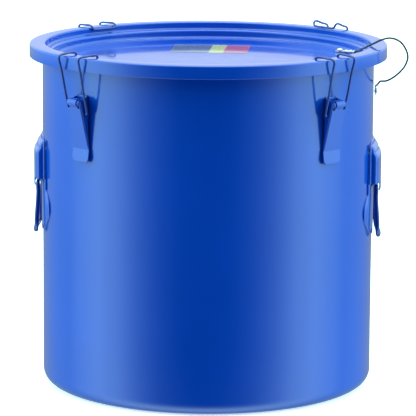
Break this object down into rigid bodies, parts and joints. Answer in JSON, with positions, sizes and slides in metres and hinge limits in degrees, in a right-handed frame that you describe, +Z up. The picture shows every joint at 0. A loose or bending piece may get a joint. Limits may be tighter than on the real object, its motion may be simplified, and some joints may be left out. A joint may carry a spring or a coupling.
{
  "type": "clamped lid steel pot",
  "caption": "Tall painted steel pot with a recessed pan lid, over-centre wire latches, drop-ring carry handles on pressed brackets and a cable tether for the lid.",
  "frame": {"origin": "centre of the pot's flat bottom, where its axis meets the surface it stands on", "axes": "+Z up along the pot's axis, -Y towards the front between the two front latches, +X towards the handle on the tether's side"},
  "size_m": [0.3791, 0.359, 0.3549],
  "materials": {
    "sheet_paint": "gloss enamel",
    "wire_paint": "gloss enamel",
    "seal": "matte",
    "terminal_steel": "satin",
    "cable_sheath": "semi-gloss"
  },
  "bodies": {
    "bucket": {"bucket_shell": "sheet_paint", "latch_base_fl": "sheet_paint", "latch_pin_fl": "wire_paint", "latch_base_fr": "sheet_paint", "latch_pin_fr": "wire_paint", "latch_base_rl": "sheet_paint", "latch_pin_rl": "wire_paint", "latch_base_rr": "sheet_paint", "latch_pin_rr": "wire_paint", "handle_backplate_left": "sheet_paint", "handle_hood_left": "sheet_paint", "handle_backplate_right": "sheet_paint", "handle_hood_right": "sheet_paint", "tether_terminal_body": "terminal_steel", "tether_rivet_body": "terminal_steel"},
    "lid": {"lid": "sheet_paint", "lid_gasket": "seal", "tether_terminal_lid": "terminal_steel", "tether_rivet_lid": "terminal_steel", "tether_cable": "cable_sheath"},
    "lever_fl": {"latch_lever_fl": "sheet_paint"},
    "bail_fl": {"latch_bail_fl": "wire_paint"},
    "lever_fr": {"latch_lever_fr": "sheet_paint"},
    "bail_fr": {"latch_bail_fr": "wire_paint"},
    "lever_rl": {"latch_lever_rl": "sheet_paint"},
    "bail_rl": {"latch_bail_rl": "wire_paint"},
    "lever_rr": {"latch_lever_rr": "sheet_paint"},
    "bail_rr": {"latch_bail_rr": "wire_paint"},
    "ring_left": {"handle_ring_left": "wire_paint"},
    "ring_right": {"handle_ring_right": "wire_paint"}
  },
  "joints": [
    {"name": "lid_lift", "type": "slide", "parent": "bucket", "child": "lid", "axis": [0, 0, 1], "range_m": [0, 0.065], "deforming": ["tether_cable"]},
    {"name": "lever_fl_swing", "type": "hinge", "parent": "bucket", "child": "lever_fl", "pos_m": [-0.12718, -0.12282, 0.3008], "axis": [-0.6947, 0.7193, 0], "range_deg": [0, 110]},
    {"name": "bail_fl_swing", "type": "hinge", "parent": "lever_fl", "child": "bail_fl", "pos_m": [-0.12409, -0.11983, 0.2901], "axis": [-0.6947, 0.7193, 0], "range_deg": [-130, 0], "deforming": ["latch_bail_fl"]},
    {"name": "lever_fr_swing", "type": "hinge", "parent": "bucket", "child": "lever_fr", "pos_m": [0.12718, -0.12282, 0.3008], "axis": [-0.6947, -0.7193, 0], "range_deg": [0, 110]},
    {"name": "bail_fr_swing", "type": "hinge", "parent": "lever_fr", "child": "bail_fr", "pos_m": [0.12409, -0.11983, 0.2901], "axis": [-0.6947, -0.7193, 0], "range_deg": [-130, 0], "deforming": ["latch_bail_fr"]},
    {"name": "lever_rl_swing", "type": "hinge", "parent": "bucket", "child": "lever_rl", "pos_m": [-0.12148, 0.12846, 0.3008], "axis": [0.7266, 0.6871, 0], "range_deg": [0, 110]},
    {"name": "bail_rl_swing", "type": "hinge", "parent": "lever_rl", "child": "bail_rl", "pos_m": [-0.11852, 0.12533, 0.2901], "axis": [0.7266, 0.6871, 0], "range_deg": [-130, 0], "deforming": ["latch_bail_rl"]},
    {"name": "lever_rr_swing", "type": "hinge", "parent": "bucket", "child": "lever_rr", "pos_m": [0.12782, 0.12215, 0.3008], "axis": [0.6909, -0.723, 0], "range_deg": [0, 110]},
    {"name": "bail_rr_swing", "type": "hinge", "parent": "lever_rr", "child": "bail_rr", "pos_m": [0.12471, 0.11918, 0.2901], "axis": [0.6909, -0.723, 0], "range_deg": [-130, 0], "deforming": ["latch_bail_rr"]},
    {"name": "ring_left_swing", "type": "hinge", "parent": "bucket", "child": "ring_left", "pos_m": [-0.1699, 0, 0.2064], "axis": [0, 1, 0], "range_deg": [0, 90]},
    {"name": "ring_right_swing", "type": "hinge", "parent": "bucket", "child": "ring_right", "pos_m": [0.1699, 0, 0.204], "axis": [0, -1, 0], "range_deg": [0, 90]}
  ],
  "couplings": [
    {"joint": "bail_fl_swing", "follows": "lever_fl_swing", "ratio": -1.15},
    {"joint": "bail_fr_swing", "follows": "lever_fr_swing", "ratio": -1.15},
    {"joint": "bail_rl_swing", "follows": "lever_rl_swing", "ratio": -1.15},
    {"joint": "bail_rr_swing", "follows": "lever_rr_swing", "ratio": -1.15}
  ]
}
